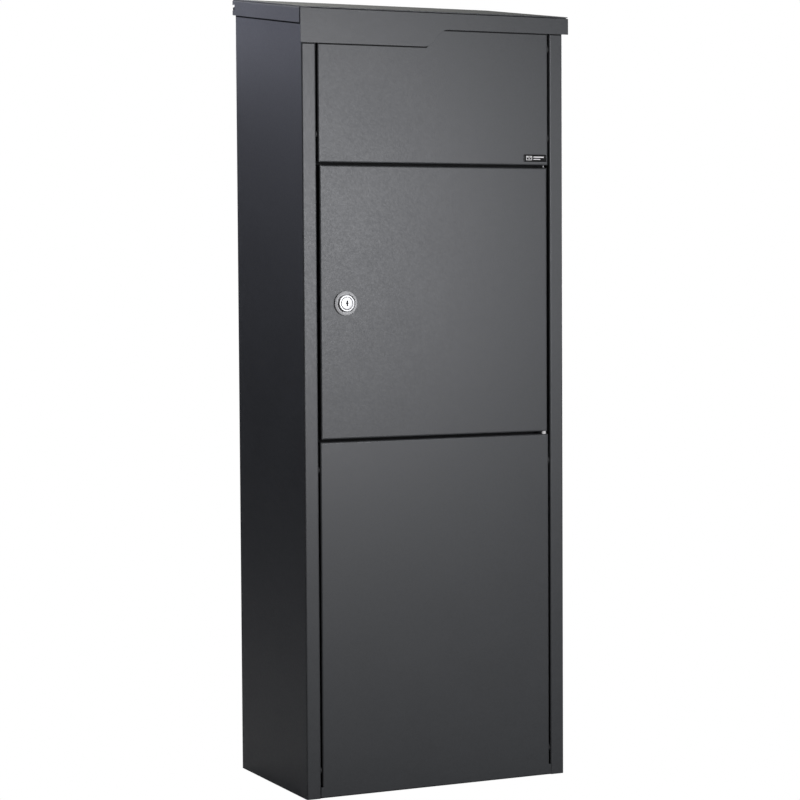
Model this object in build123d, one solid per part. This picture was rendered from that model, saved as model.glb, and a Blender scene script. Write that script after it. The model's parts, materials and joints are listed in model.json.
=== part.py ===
from build123d import *
import os
from math import cos, radians, sin, tan

# Free-standing parcel locker of folded sheet steel. Millimetres.
# X runs to the right, Y to the back, Z up.
# The origin is the middle of the floor's anchor holes, on the underside.

# ---------------------------------------------------------------- overall sizes
body_width = 367.0
body_depth = 221.0
height = 1020.0            # to the top of the roof, at the back
roof_angle = 7.7           # fall of the roof towards the front, degrees

# ---------------------------------------------------------------- casing
sheet = 1.2
bend = 2.0                 # outer radius of a fold
stile_width = 19.0
stile_return = 18.0        # depth of the fold behind each stile
corner_lap = 15.0          # flange of the back wall that laps inside a side wall
floor_upturn = 20.0
wall_top_gap = 4.0         # from the top of a side wall to the roof
wall_top_return = 10.0
upper_panel_height = 185.0
door_height = 342.0
panel_side_gap = 2.5
panel_row_gap = 3.5        # between the panels and the door, one above the other
panel_top_gap = 5.8        # from the upper panel to the roof
panel_return = 15.0
ear_height = 14.0          # foot of the lower panel that reaches the stiles
ear_gap = 0.1
rail_depth = 20.0          # from the front face to the lip behind the door
rail_lip = 18.0
rail_tab = 15.0

# ---------------------------------------------------------------- lid
lid_side_overhang = 4.4
lid_front_overhang = 8.0
roof_edge_setback = 0.8    # of the roof sheet from the outside of the lid's sides
lid_flange = 19.4          # below the roof sheet
lid_side_top = 15.0        # flange of a side under the roof sheet
fascia_left_depth = 42.3
fascia_right_depth = 20.2
wave_centre = -2.0         # of the step in the lower edge of the fascia
wave_angle = 48.0
wave_radius = 16.0
fascia_corner = 0.5
fascia_seam = 2.5          # between a side flange and the fascia
fascia_top_gap = 0.9       # between the fascia and the roof sheet
fascia_rail_drop = 4.0     # from the top of the fascia to the step of its rail
fascia_rail_leg = 12.0
fascia_rail_gap = 1.5      # in front of the upper panel
notch_depth = 7.0          # relief in the rear edge of a side flange
notch_height = 7.0
notch_drop = 6.5           # from the roof to the top of the relief
pad_height = 3.8
lid_stiffener_width = 36.0

# ---------------------------------------------------------------- lid hinge
hinge_rod_r = 1.25
running_gap = 0.05         # radial, round every rod and pin
hinge_length = 320.0
hinge_knuckles = 7
knuckle_gap = 0.4
hinge_leaf_width = 22.0
hinge_rivets = 5
hinge_rivet_margin = 22.0

# ---------------------------------------------------------------- drop tray and its linkage
tray_side_gap = 4.5        # from the tray to the clear opening
tray_flange = 14.0
tray_rear_gap = 3.5
tray_tip_gap = 5.0
tray_head = 4.0            # sheet above the pivot
tray_pivot_rise = 40.0     # pivot above the foot of the upper panel
crank_forward = 45.0
crank_drop = 25.0
arm_sheet = 2.0
arm_radius = 7.0
arm_leg = 60.0
link_sheet = 2.5
link_radius = 6.5
layer_gap = 1.0            # between plates that move past each other
crank_pin_r = 3.0
pin_head_r = 4.8
pin_head = 1.5
clip_r = 5.0
clip_thickness = 0.8
clip_gap = 0.4
pin_end = 0.8              # of a pin beyond its clip
ear_half_length = 12.0
bracket_half = 13.0
tray_hem = 3.0

# ---------------------------------------------------------------- door
door_gap = 4.0
door_return = 18.0
door_pin_inset = 3.8       # from the hinge edge of the door
door_pin_setback = 3.8     # behind the front face
door_pin_r = 1.5
door_pin_head_gap = 0.2      # from a pin's head to the skin in front of it
door_pin_engagement = 12.0
door_bush_wall = 0.8
door_bush_flange = 0.8
door_bush_length = 5.0
washer_r = 2.9
washer_gap = 0.15
door_stiffener_width = 60.0
buffer_r = 5.0
buffer_gap = 0.3
rail_buffer_inset = 75.0   # from the side of the door
lid_buffer_inset = 48.0    # from the side of the upper panel
stiffener_depth = 10.0
hat_flange = 10.0
stiffener_margin = 12.0

# ---------------------------------------------------------------- lock
lock_inset = 33.8          # from the free edge of the door
lock_drop = 1.0            # below the middle of the door
escutcheon_r = 15.3
escutcheon_wall = 2.4
escutcheon_top_r = 12.7
escutcheon_height = 3.6
lock_body_r = 9.5
lock_head_r = 10.6
lock_head_height = 4.4
lock_groove_r = 12.0
lock_body_length = 20.0
lock_nut_thickness = 3.5
lock_nut_flats = 24.0
plug_r = 8.0
plug_proud = 0.4
key_slot_width = 1.8
key_slot_height = 7.0
key_slot_depth = 7.0
key_hole_r = 1.5
cam_thickness = 2.0
cam_width = 16.0
cam_length = 46.0
cam_square = 7.0
cam_screw_r = 5.0
cam_screw_head = 2.5
strike_width = 40.0
strike_sheet = 1.5
strike_gap = 0.6

# ---------------------------------------------------------------- fixings, mounts and badge
anchor_hole_r = 5.5
anchor_spacing_x = 280.0
anchor_spacing_y = 130.0
wall_hole_r = 4.5
wall_spacing_x = 240.0
wall_spacing_z = 640.0
wall_holes_middle = 560.0
screw_r = 2.0
screw_head_r = 3.8
screw_head = 2.4
nut_r = 4.0
nut_thickness = 3.2
spacer_r = 5.0
screw_edge = 35.0          # from the end of a panel to its screws
rivet_r = 1.6
rivet_head_r = 3.2
rivet_head = 1.0
rivet_sink_r = 2.5         # flush head on the outside of the back wall
badge_width = 33.5
badge_height = 9.3
badge_thickness = 1.0
badge_corner = 2.0
badge_side_margin = 2.4
badge_foot_margin = 4.3

# ---------------------------------------------------------------- places worked out from the sizes
slope = tan(radians(roof_angle))
rise = cos(radians(roof_angle))
side_x = body_width / 2
wall_x = side_x - sheet
front_y = -body_depth / 2
back_y = body_depth / 2
opening_x = side_x - stile_width
panel_x = opening_x - panel_side_gap

knuckle_r = hinge_rod_r + running_gap + sheet
hinge_y = back_y - sheet - knuckle_r
hinge_z = height - (back_y - hinge_y) * slope - (knuckle_r + sheet) / rise
lid_x = side_x + lid_side_overhang
lid_front_y = front_y - lid_front_overhang
fascia_back_y = lid_front_y + sheet
wall_rear_top = hinge_z - 2 * knuckle_r - sheet

rail_back_y = front_y + rail_depth + sheet
upper_top = hinge_z + knuckle_r / rise + (front_y - hinge_y) * slope - panel_top_gap
upper_foot = upper_top - upper_panel_height
door_top = upper_foot - panel_row_gap
door_foot = door_top - door_height
lower_top = door_foot - panel_row_gap

door_x = opening_x - door_gap
door_back_y = front_y + door_return
door_pin_x = door_x - door_pin_inset
door_pin_y = front_y + door_pin_setback
door_pin_head_r = door_pin_setback - sheet - door_pin_head_gap
bush_r = door_pin_r + running_gap + door_bush_wall
lock_x = -door_x + lock_inset
lock_z = (door_top + door_foot) / 2 - lock_drop
cam_front_y = door_back_y + cam_thickness + strike_gap
cam_back_y = cam_front_y + cam_thickness

tray_x = opening_x - tray_side_gap
tray_y = back_y - sheet - tray_flange / 2 - tray_rear_gap
tray_z = upper_foot + tray_pivot_rise
tray_length = tray_y - rail_back_y - tray_tip_gap
arm_x = tray_x + arm_sheet
link_inner_x = arm_x + layer_gap
link_outer_x = link_inner_x + link_sheet
ear_inner_x = link_outer_x + layer_gap
ear_outer_x = ear_inner_x + arm_sheet
lid_crank = (hinge_y - crank_forward, hinge_z - crank_drop)
tray_crank = (tray_y - crank_forward, tray_z - crank_drop)


def roof_underside(y):
    """Height of the underside of the roof at a distance from front to back."""
    return hinge_z + knuckle_r / rise + (y - hinge_y) * slope


# ---------------------------------------------------------------- shapes that repeat
def block(x, y, z):
    """Box between two limits on each axis."""
    size = Box(x[1] - x[0], y[1] - y[0], z[1] - z[0])
    return Pos((x[0] + x[1]) / 2, (y[0] + y[1]) / 2, (z[0] + z[1]) / 2) * size


def rod_x(radius, start, end, y, z):
    """Round bar along X."""
    return Pos((start + end) / 2, y, z) * Rot(0, 90, 0) * Cylinder(radius, abs(end - start))


def rod_y(radius, start, end, x, z):
    """Round bar along Y."""
    return Pos(x, (start + end) / 2, z) * Rot(90, 0, 0) * Cylinder(radius, abs(end - start))


def rod_z(radius, start, end, x, y):
    """Round bar along Z."""
    return Pos(x, y, (start + end) / 2) * Cylinder(radius, abs(end - start))


def folded(points, plane, length):
    """Sheet folded round an outline that runs clockwise, so that its thickness lies inside."""
    outline = FilletPolyline(*points, radius=bend)
    section = make_face(offset(outline, amount=sheet, side=Side.RIGHT))
    return extrude(plane * section, length)


def folded_upright(points, foot, top):
    """Folded sheet with its outline in plan."""
    return folded(points, Plane.XY.offset(foot), top - foot)


def folded_across(points, left, right):
    """Folded sheet with its outline seen from the right: points are distances to the back and up."""
    return folded(points, Plane.YZ.offset(left), right - left)


def prism_x(points, left, right):
    """Solid with a straight-sided outline seen from the right."""
    return extrude(Plane.YZ.offset(left) * make_face(Polyline(*points, close=True)), right - left)


def below_roof(gap, left=-lid_x, right=lid_x):
    """Everything that lies at least a gap under the roof."""
    near = lid_front_y - bend
    far = back_y + bend
    top = [(end, roof_underside(end) - gap) for end in (far, near)]
    outline = [(near, 0), (far, 0)] + top
    return prism_x(outline, left, right)


def roof_slab(x, y, depth, drop=0.0):
    """Slab that follows the underside of the roof, a drop below it."""
    top = [(end, roof_underside(end) - drop) for end in y]
    foot = [(end, level - depth) for end, level in reversed(top)]
    return prism_x(top + foot, *x)


def capsule_x(start, end, radius, left, right):
    """Flat bar with round ends between two centres, seen from the right."""
    middle = ((start[0] + end[0]) / 2, (start[1] + end[1]) / 2)
    run = Vector(end[0] - start[0], end[1] - start[1])
    face = Rot(0, 0, Vector(1, 0).get_signed_angle(run)) * SlotCenterToCenter(run.length, 2 * radius)
    return extrude(Plane.YZ.offset(left) * Pos(*middle) * face, right - left)


def both_sides(part):
    """The part and its mirror image across the middle of the locker."""
    return part + mirror(part, about=Plane.YZ)


# ---------------------------------------------------------------- casing
def left_wall():
    """Side wall, front stile and the return behind it, folded from one sheet, with a top return."""
    outline = [
        (-opening_x, front_y + stile_return),
        (-opening_x, front_y),
        (-side_x, front_y),
        (-side_x, back_y),
    ]
    wall = folded_upright(outline, 0, height) & below_roof(wall_top_gap)
    top_x = (-side_x, -side_x + wall_top_return)
    wall += roof_slab(top_x, (front_y + stile_return, hinge_y), sheet, wall_top_gap)
    hinge_space = block((-lid_x, 0), (hinge_y - 2 * knuckle_r, back_y + bend), (wall_rear_top, height))
    wall -= hinge_space
    through_return = (-opening_x - 2 * sheet, -opening_x + sheet)
    for z in panel_screw_heights():
        wall -= rod_x(screw_r + running_gap, *through_return, *screw_line(z))
    for z in strike_rivet_heights():
        wall -= rod_x(rivet_r + running_gap, *through_return, strike_rivet_y(), z)
    return wall


def back_wall():
    """Back plate whose side flanges lap inside the side walls above the floor's upturn."""
    outline = [
        (-wall_x, back_y - corner_lap),
        (-wall_x, back_y),
        (wall_x, back_y),
        (wall_x, back_y - corner_lap),
    ]
    wall = folded_upright(outline, 0, wall_rear_top)
    room = block((-side_x, side_x), (front_y, back_y - sheet), (0, floor_upturn + sheet))
    wall -= room & both_sides(block((wall_x - bend, side_x), (front_y, back_y - sheet), (0, height)))
    for x, z in wall_hole_places():
        wall -= rod_y(wall_hole_r, back_y - 2 * sheet, back_y + sheet, x, z)
    for x in hinge_rivet_places():
        wall -= rod_y(rivet_r + running_gap, back_y - 2 * sheet, back_y + sheet, x, hinge_rivet_z())
        wall -= flush_head(x, running_gap)
    return wall


def wall_hole_places():
    """Centres of the four holes that fix the back to a wall."""
    across = (-wall_spacing_x / 2, wall_spacing_x / 2)
    up = (wall_holes_middle - wall_spacing_z / 2, wall_holes_middle + wall_spacing_z / 2)
    return [(x, z) for x in across for z in up]


def floor_pan():
    """Floor with turned-up edges at the sides and the back, and four anchor holes."""
    pan_front = front_y + stile_return + sheet
    pan_back = back_y - sheet
    pan = block((-wall_x, wall_x), (pan_front, pan_back), (0, sheet))
    pan += both_sides(block((wall_x - sheet, wall_x), (pan_front, pan_back), (0, floor_upturn)))
    pan += block((-wall_x + bend, wall_x - bend), (pan_back - sheet, pan_back), (0, floor_upturn))
    for x in (-anchor_spacing_x / 2, anchor_spacing_x / 2):
        for y in (-anchor_spacing_y / 2, anchor_spacing_y / 2):
            pan -= rod_z(anchor_hole_r, -sheet, 2 * sheet, x, y)
    return pan


def pan(half_width, foot, top, sides, foot_return=0.0, top_return=0.0):
    """Front sheet with both sides folded back, and its foot and top too where a return is asked for."""
    outline = [
        (half_width, front_y + sides),
        (half_width, front_y),
        (-half_width, front_y),
        (-half_width, front_y + sides),
    ]
    part = folded_upright(outline, foot, top)
    inner = half_width - bend
    skin = (front_y - sheet, front_y + sheet)
    if foot_return:
        part -= block((-inner, inner), skin, (foot - sheet, foot + bend))
        turn = [(front_y + foot_return, foot), (front_y, foot), (front_y, foot + 2 * bend)]
        part += folded_across(turn, -inner, inner)
    if top_return:
        part -= block((-inner, inner), skin, (top - bend, top + sheet))
        turn = [(front_y, top - 2 * bend), (front_y, top), (front_y + top_return, top)]
        part += folded_across(turn, -inner, inner)
    return part


def lower_front_panel():
    """Fixed panel under the door, with a wider foot that reaches the stiles."""
    panel = pan(panel_x, ear_height, lower_top, panel_return, top_return=rail_depth)
    foot_x = opening_x - ear_gap
    foot = [(front_y + stile_return + sheet, 0), (front_y, 0), (front_y, ear_height)]
    panel += folded_across(foot, -foot_x, foot_x)
    panel -= door_pin_hole(lower_top - 2 * sheet, lower_top + sheet)
    return drilled_for_screws(panel, (screw_edge, lower_top - screw_edge))


def upper_front_panel():
    """Fixed panel above the door, under the fascia of the lid."""
    panel = pan(panel_x, upper_foot, upper_top, panel_return, rail_depth, stile_return)
    panel -= door_pin_hole(upper_foot - sheet, upper_foot + 2 * sheet)
    return drilled_for_screws(panel, (upper_foot + screw_edge, upper_top - screw_edge))


def door_pin_hole(foot, top):
    """Bore round the door's pins between two heights."""
    return rod_z(door_pin_r + running_gap, foot, top, door_pin_x, door_pin_y)


def drilled_for_screws(panel, heights):
    """The panel with a hole for each screw through its folded sides."""
    for z in heights:
        panel -= rod_x(screw_r + running_gap, -side_x, side_x, *screw_line(z))
    return panel


def screw_line(z):
    """Distance to the back and height of a row of panel screws."""
    return front_y + panel_return / 2, z


def panel_screw_heights():
    """Heights of the screws that hold both fixed panels to the stiles."""
    return (screw_edge, lower_top - screw_edge, upper_foot + screw_edge, upper_top - screw_edge)


def panel_screws():
    """Pan-head screws from inside the panels, outwards through the returns of the stiles."""
    screws = []
    for z in panel_screw_heights():
        shank = rod_x(screw_r, panel_x - sheet, opening_x + sheet + nut_thickness + 1, *screw_line(z))
        head = rod_x(screw_head_r, panel_x - sheet - screw_head, panel_x - sheet, *screw_line(z))
        screws += [shank + head, mirror(shank + head, about=Plane.YZ)]
    return screws


def panel_spacers():
    """Rings that hold the panels off the stiles."""
    rings = []
    for z in panel_screw_heights():
        ring = rod_x(spacer_r, panel_x, opening_x, *screw_line(z))
        ring -= rod_x(screw_r + running_gap, panel_x - 1, opening_x + 1, *screw_line(z))
        rings += [ring, mirror(ring, about=Plane.YZ)]
    return rings


def panel_nuts():
    """Hexagon nuts behind the returns of the stiles."""
    nuts = []
    for z in panel_screw_heights():
        y = screw_line(z)[0]
        hexagon = Plane.YZ.offset(opening_x + sheet) * Pos(y, z) * RegularPolygon(nut_r, 6)
        nut = extrude(hexagon, nut_thickness)
        nut -= rod_x(screw_r + running_gap, opening_x, opening_x + 2 * nut_thickness, y, z)
        nuts += [nut, mirror(nut, about=Plane.YZ)]
    return nuts


def rail(web_top, web_foot, lip):
    """Rail behind the door's edge: a web under or over the panel's return, a lip and two tabs."""
    inner = panel_x - sheet
    web = block((-inner, inner), (front_y + 2 * sheet, rail_back_y), (web_foot, web_top))
    lip_plate = block((-wall_x, wall_x), (rail_back_y - sheet, rail_back_y), lip)
    tab = block((wall_x - sheet, wall_x), (rail_back_y - sheet, rail_back_y + rail_tab), lip)
    bar = web + lip_plate + both_sides(tab)
    return bar - door_pin_hole(web_foot - sheet, web_top + sheet)


def header_rail():
    """Rail above the door."""
    web_foot = upper_foot + sheet
    return rail(web_foot + sheet, web_foot, (web_foot + sheet - rail_lip, web_foot + sheet))


def sill_rail():
    """Rail below the door."""
    web_top = lower_top - sheet
    return rail(web_top, web_top - sheet, (web_top - sheet, web_top - sheet + rail_lip))


def rail_buffers():
    """Rubber discs on the rail lips for the door to close against."""
    header_z = door_top - door_bush_length - buffer_r
    sill_z = door_foot + door_bush_length + buffer_r
    discs = []
    reach = door_x - rail_buffer_inset
    for x in (-reach, reach):
        for z in (header_z, sill_z):
            discs.append(rod_y(buffer_r, door_back_y + buffer_gap, rail_back_y - sheet, x, z))
    return discs


def lid_buffers():
    """Rubber discs on the upper panel for the lid to rest on."""
    middle_y = front_y + stile_return / 2
    discs = []
    reach = panel_x - lid_buffer_inset
    for x in (-reach, reach):
        disc = rod_z(buffer_r, upper_top, height, x, middle_y)
        discs.append(disc & below_roof(sheet + buffer_gap))
    return discs


def side_pads():
    """Rubber pads on the side walls, in the reliefs of the lid's sides."""
    foot = roof_underside(back_y) - notch_drop - notch_height + buffer_gap
    depth = (back_y - notch_depth + 2 * buffer_gap, back_y)
    pad = block((side_x, lid_x - buffer_gap), depth, (foot, foot + pad_height))
    return [pad, mirror(pad, about=Plane.YZ)]


def badge_plate():
    """Small plain plate at the foot of the upper panel."""
    right = panel_x - badge_side_margin
    foot = upper_foot + badge_foot_margin
    centre = (right - badge_width / 2, foot + badge_height / 2)
    face = RectangleRounded(badge_width, badge_height, badge_corner)
    plane = Plane(origin=(centre[0], front_y, centre[1]), x_dir=(1, 0, 0), z_dir=(0, -1, 0))
    return extrude(plane * face, badge_thickness)


# ---------------------------------------------------------------- lid hinge
def hinge_frame(part):
    """Places a part drawn with the hinge axis at the origin and the roof level above it."""
    return Pos(0, hinge_y, hinge_z) * Rot(roof_angle, 0, 0) * part


def knuckle_spans(first):
    """Stretches of the hinge that belong to one leaf: every other knuckle from the first."""
    pitch = hinge_length / hinge_knuckles
    starts = [-hinge_length / 2 + pitch * index for index in range(first, hinge_knuckles, 2)]
    return [(start + knuckle_gap / 2, start + pitch - knuckle_gap / 2) for start in starts]


def knuckles(first, tongue):
    """Knuckles of one leaf, each with the tongue that joins it to the leaf."""
    rolled = Part()
    for span in knuckle_spans(first):
        rolled += rod_x(knuckle_r, *span, 0, 0) + tongue(span)
    return rolled - rod_x(hinge_rod_r + running_gap, -lid_x, lid_x, 0, 0)


def lid_hinge_leaf():
    """Moving leaf, flat under the roof."""
    clear = knuckle_r + knuckle_gap

    def tongue(span):
        return block(span, (-clear, 0), (knuckle_r - sheet, knuckle_r))

    ends = (-hinge_length / 2, hinge_length / 2)
    leaf = block(ends, (-hinge_leaf_width, -clear), (knuckle_r - sheet, knuckle_r))
    return hinge_frame(leaf + knuckles(1, tongue))


def casing_hinge_leaf():
    """Fixed leaf, flat on the inside of the back wall."""
    clear = knuckle_r + knuckle_gap

    def tongue(span):
        return block(span, (knuckle_r - sheet, knuckle_r), (-clear, 0))

    ends = (-hinge_length / 2, hinge_length / 2)
    leaf = block(ends, (knuckle_r - sheet, knuckle_r), (-hinge_leaf_width, -clear))
    leaf = Pos(0, hinge_y, hinge_z) * (leaf + knuckles(0, tongue))
    for x in hinge_rivet_places():
        leaf -= rod_y(rivet_r + running_gap, hinge_y - knuckle_r, back_y, x, hinge_rivet_z())
    return leaf


def hinge_rod():
    """Rod through all the knuckles."""
    overrun = 2.0
    return rod_x(hinge_rod_r, -hinge_length / 2 - overrun, hinge_length / 2 + overrun, hinge_y, hinge_z)


def hinge_rivet_places():
    """Distances across of the rivets of the fixed leaf."""
    reach = hinge_length / 2 - hinge_rivet_margin
    return [-reach + 2 * reach * index / (hinge_rivets - 1) for index in range(hinge_rivets)]


def hinge_rivet_z():
    """Height of the rivets, halfway down the free part of the leaf and below the wall's top edge."""
    return hinge_z - hinge_leaf_width / 2 - knuckle_r


def flush_head(x, gap=0.0):
    """Countersunk head of a rivet, flush with the outside of the back wall."""
    cone = Cone(rivet_sink_r + gap, rivet_r + gap, rivet_head)
    return Pos(x, back_y - rivet_head / 2, hinge_rivet_z()) * Rot(90, 0, 0) * cone


def hinge_leaf_rivets():
    """Rivets through the fixed leaf and the back wall, flush outside."""
    inner = back_y - 2 * sheet
    rivets = []
    for x in hinge_rivet_places():
        rivet = rod_y(rivet_r, inner, back_y, x, hinge_rivet_z())
        rivet += flush_head(x)
        rivet += rod_y(rivet_head_r, inner - rivet_head, inner, x, hinge_rivet_z())
        rivets.append(rivet)
    return rivets


# ---------------------------------------------------------------- lid
def lid_roof():
    """Flat roof sheet that lies on the sides of the lid and stands over the fascia."""
    half = lid_x - roof_edge_setback
    under = [(end, roof_underside(end)) for end in (lid_front_y, back_y)]
    top = [(end, level + sheet / rise) for end, level in reversed(under)]
    return prism_x(under + top, -half, half)


def lid_side():
    """Left side of the lid: a flange down along the slope and one inwards under the roof sheet."""
    length = body_depth + lid_front_overhang + 2 * lid_flange
    plane = Plane(origin=(0, lid_flange, 0), x_dir=(1, 0, 0), z_dir=(0, -1, 0))
    edge = [(-lid_x, knuckle_r - lid_flange), (-lid_x, knuckle_r), (-lid_x + lid_side_top, knuckle_r)]
    side = hinge_frame(folded(edge, plane, length))
    side &= block((-lid_x, 0), (fascia_back_y + fascia_seam, back_y), (0, 2 * height))
    return side - flange_notch()


def flange_notch():
    """Square relief in the rear edge of the left side of the lid."""
    top = roof_underside(back_y) - notch_drop
    x = (-lid_x - sheet, -lid_x + 2 * bend)
    return block(x, (back_y - notch_depth, back_y + sheet), (top - notch_height, top))


def fascia_top():
    """Height of the top edge of the fascia, a gap below the roof sheet."""
    return roof_underside(lid_front_y) - fascia_top_gap


def fascia_rail():
    """Stepped strip that carries the fascia: a leg behind it, a step back and a flange under the roof."""
    step = fascia_top() - fascia_rail_drop
    rear = front_y - fascia_rail_gap - sheet
    end = rear + fascia_rail_leg
    outline = [
        (fascia_back_y, step - fascia_rail_leg),
        (fascia_back_y, step),
        (rear, step),
        (rear, roof_underside(rear)),
        (end, roof_underside(end)),
    ]
    half = lid_x - lid_side_top - layer_gap
    return folded_across(outline, -half, half)


def lid_fascia():
    """Front plate of the lid; its lower edge steps up from left to right in a smooth wave."""
    top = fascia_top()
    left_foot = top - fascia_left_depth
    right_foot = top - fascia_right_depth
    half_run = (right_foot - left_foot) / tan(radians(wave_angle)) / 2
    outline = Polyline(
        (-lid_x, top),
        (lid_x, top),
        (lid_x, right_foot),
        (wave_centre + half_run, right_foot),
        (wave_centre - half_run, left_foot),
        (-lid_x, left_foot),
        close=True,
    )
    face = make_face(outline)
    reach = half_run + sheet
    wave = face.vertices().filter_by_position(Axis.X, wave_centre - reach, wave_centre + reach)
    face = fillet(wave, wave_radius)
    outer = face.vertices().group_by(Axis.X)
    face = fillet(outer[0] + outer[-1], fascia_corner)
    plane = Plane(origin=(0, fascia_back_y, 0), x_dir=(1, 0, 0), z_dir=(0, -1, 0))
    return extrude(plane * face, sheet)


def hat(width, depth, flange, plane, length):
    """Hat-shaped stiffener: two flanges at the base and a crown."""
    half = width / 2
    crown = sheet - depth
    end = half + flange
    points = [(-end, 0), (-half, 0), (-half, crown), (half, crown), (half, 0), (end, 0)]
    return folded(points, plane, length)


def lid_stiffener():
    """Hat section across the underside of the roof."""
    middle = -(body_depth / 2) / rise
    half_length = ear_inner_x - ear_half_length - layer_gap - 2 * bend
    plane = Plane(origin=(-half_length, middle, knuckle_r), x_dir=(0, 1, 0), z_dir=(1, 0, 0))
    return hinge_frame(hat(lid_stiffener_width, stiffener_depth, hat_flange, plane, 2 * half_length))


def lid_ear():
    """Left bracket under the roof that carries the crank pin of the lid."""
    y = (lid_crank[0] - ear_half_length, lid_crank[0] + ear_half_length)
    plate = prism_x(
        [
            (y[0], roof_underside(y[0])),
            (lid_crank[0] - arm_radius, lid_crank[1]),
            (lid_crank[0] + arm_radius, lid_crank[1]),
            (y[1], roof_underside(y[1])),
        ],
        -ear_outer_x,
        -ear_inner_x,
    )
    plate += rod_x(arm_radius, -ear_outer_x, -ear_inner_x, *lid_crank)
    foot = roof_slab((-ear_inner_x, -ear_inner_x + ear_half_length), y, arm_sheet)
    ear = plate + foot
    return ear - rod_x(crank_pin_r + running_gap, -side_x, 0, *lid_crank)


# ---------------------------------------------------------------- pins, clips and links
def headed_pin(head_x, tip_x, y, z):
    """Pin along X with its head outside the first of two places."""
    outward = 1 if head_x > tip_x else -1
    pin = rod_x(crank_pin_r, head_x, tip_x, y, z)
    return pin + rod_x(pin_head_r, head_x, head_x + outward * pin_head, y, z)


def retaining_clip(near_x, far_x, y, z):
    """Open ring pushed over the end of a pin."""
    ring = rod_x(clip_r, near_x, far_x, y, z) - rod_x(crank_pin_r, near_x, far_x, y, z)
    middle = (near_x + far_x) / 2
    mouth = Pos(middle, y, z - clip_r) * Box(clip_thickness, crank_pin_r, 2 * clip_r)
    return ring - mouth


def lid_crank_pins():
    """Pins fixed in the lid's brackets, on which the links hang."""
    tip = link_inner_x - clip_gap - clip_thickness - pin_end
    pin = headed_pin(-ear_outer_x, -tip, *lid_crank)
    return [pin, mirror(pin, about=Plane.YZ)]


def lid_link_clips():
    """Clips inside the links on the lid's crank pins."""
    near = link_inner_x - clip_gap
    clip = retaining_clip(-near, -near + clip_thickness, *lid_crank)
    return [clip, mirror(clip, about=Plane.YZ)]


def tray_crank_pins():
    """Pins fixed in the tray's arms, on which the links pull."""
    tip = link_outer_x + clip_gap + clip_thickness + pin_end
    pin = headed_pin(-tray_x, -tip, *tray_crank)
    return [pin, mirror(pin, about=Plane.YZ)]


def tray_link_clips():
    """Clips outside the links on the tray's crank pins."""
    near = link_outer_x + clip_gap
    clip = retaining_clip(-near - clip_thickness, -near, *tray_crank)
    return [clip, mirror(clip, about=Plane.YZ)]


def link_rod():
    """Left flat bar between the crank pins of the lid and the tray."""
    bar = capsule_x(tray_crank, lid_crank, link_radius, -link_outer_x, -link_inner_x)
    for centre in (tray_crank, lid_crank):
        bar -= rod_x(crank_pin_r + running_gap, -side_x, 0, *centre)
    return bar


# ---------------------------------------------------------------- drop tray
def drop_tray():
    """Flap that hangs along the back wall, with flanges behind it and a rounded hem at its tip."""
    face_y = tray_y - tray_flange / 2
    top = tray_z + tray_head
    foot = tray_z - tray_length
    outline = [
        (tray_x, face_y + tray_flange),
        (tray_x, face_y),
        (-tray_x, face_y),
        (-tray_x, face_y + tray_flange),
    ]
    tray = folded_upright(outline, foot, top)
    tip_x = tray_x - sheet
    tray += block((-tip_x, tip_x), (face_y + sheet / 2, face_y + tray_flange), (foot, foot + sheet))
    for z in tray_rivet_heights():
        tray -= rod_x(rivet_r + running_gap, -side_x, side_x, tray_y, z)
    return tray - rod_x(crank_pin_r + running_gap, -side_x, side_x, tray_y, tray_z)


def tray_arm():
    """Left crank of the tray: an arm forward to the link and a leg down the tray's flange."""
    pivot = (tray_y, tray_z)
    arm = capsule_x(pivot, tray_crank, arm_radius, -arm_x, -tray_x)
    half = tray_flange / 2
    arm += block((-arm_x, -tray_x), (tray_y - half, tray_y + half), (tray_z - arm_leg, tray_z))
    for centre in (pivot, tray_crank):
        arm -= rod_x(crank_pin_r + running_gap, -side_x, 0, *centre)
    for z in tray_rivet_heights():
        arm -= rod_x(rivet_r + running_gap, -side_x, 0, tray_y, z)
    return arm


def tray_rivet_heights():
    """Heights of the rivets that join each arm to the tray's flange."""
    return (tray_z - arm_leg / 2, tray_z - arm_leg + rivet_head_r + 2)


def tray_arm_rivets():
    """Rivets through the arms and the tray's flanges."""
    rivets = []
    for z in tray_rivet_heights():
        rivet = rod_x(rivet_r, -arm_x, -tray_x + sheet, tray_y, z)
        rivet += rod_x(rivet_head_r, -arm_x - layer_gap / 2, -arm_x, tray_y, z)
        rivet += rod_x(rivet_head_r, -tray_x + sheet, -tray_x + sheet + rivet_head, tray_y, z)
        rivets += [rivet, mirror(rivet, about=Plane.YZ)]
    return rivets


def tray_pivot_pins():
    """Pins fixed in the tray that turn in the casing's brackets."""
    bracket_outer = link_inner_x + arm_sheet
    tip = bracket_outer + clip_gap + clip_thickness + pin_end
    pin = headed_pin(-tray_x + sheet, -tip, tray_y, tray_z)
    return [pin, mirror(pin, about=Plane.YZ)]


def tray_pivot_clips():
    """Clips outside the brackets on the tray's pivot pins."""
    near = link_inner_x + arm_sheet + clip_gap
    clip = retaining_clip(-near - clip_thickness, -near, tray_y, tray_z)
    return [clip, mirror(clip, about=Plane.YZ)]


def tray_bracket():
    """Left bracket on the side wall that carries the tray's pivot: an ear, two webs and a foot."""
    y = (tray_y - bracket_half, back_y - corner_lap / 3)
    z = (tray_z - bracket_half, tray_z + bracket_half)
    lap = wall_x - sheet
    ear = block((-link_inner_x - arm_sheet, -link_inner_x), y, z)
    web = block((-lap, -link_inner_x), y, (z[0], z[0] + arm_sheet))
    foot = block((-lap, -lap + arm_sheet), y, (z[0] - bracket_half, z[0] + arm_sheet))
    bracket = ear + web + foot
    return bracket - rod_x(crank_pin_r + running_gap, -side_x, 0, tray_y, tray_z)


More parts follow.
